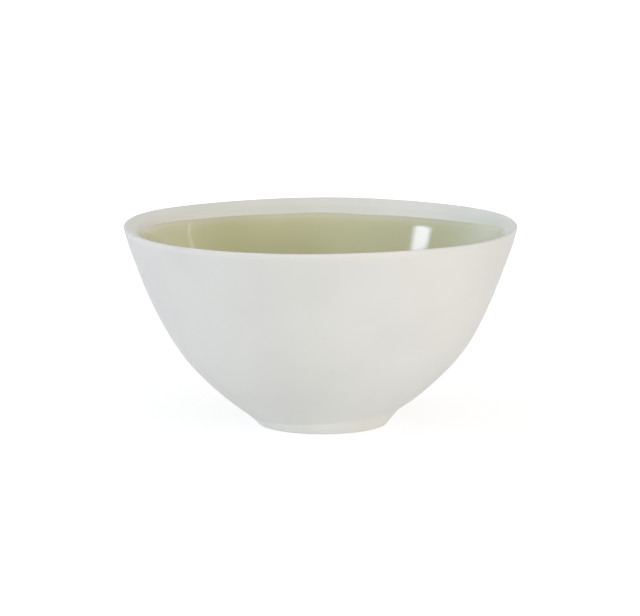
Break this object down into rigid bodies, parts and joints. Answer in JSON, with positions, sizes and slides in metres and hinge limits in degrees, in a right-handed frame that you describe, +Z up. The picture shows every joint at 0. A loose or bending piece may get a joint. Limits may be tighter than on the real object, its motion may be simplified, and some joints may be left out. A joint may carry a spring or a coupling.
{
  "type": "drinking bowl",
  "caption": "Handleless porcelain latte bowl with a flared wall, a crisp-edged lip rounded inward and a low foot ring, bare outside and glazed sage yellow inside.",
  "frame": {"origin": "centre of the foot's footprint, on the surface that the bowl stands on", "axes": "+Z up along the bowl's axis of revolution; X and Y are alike, and the picture looks along +Y"},
  "size_m": [0.14, 0.14, 0.0715],
  "materials": {
    "bare_porcelain": "matt bare porcelain, smoothed by hand",
    "foot_porcelain": "matt bare porcelain, turned, a little worn on the tread",
    "sage_glaze": "glossy sage-yellow glaze, deeper where it pools"
  },
  "bodies": {
    "root": {"bowl_wall": "bare_porcelain", "foot_ring": "foot_porcelain", "inner_glaze": "sage_glaze"}
  },
  "joints": []
}
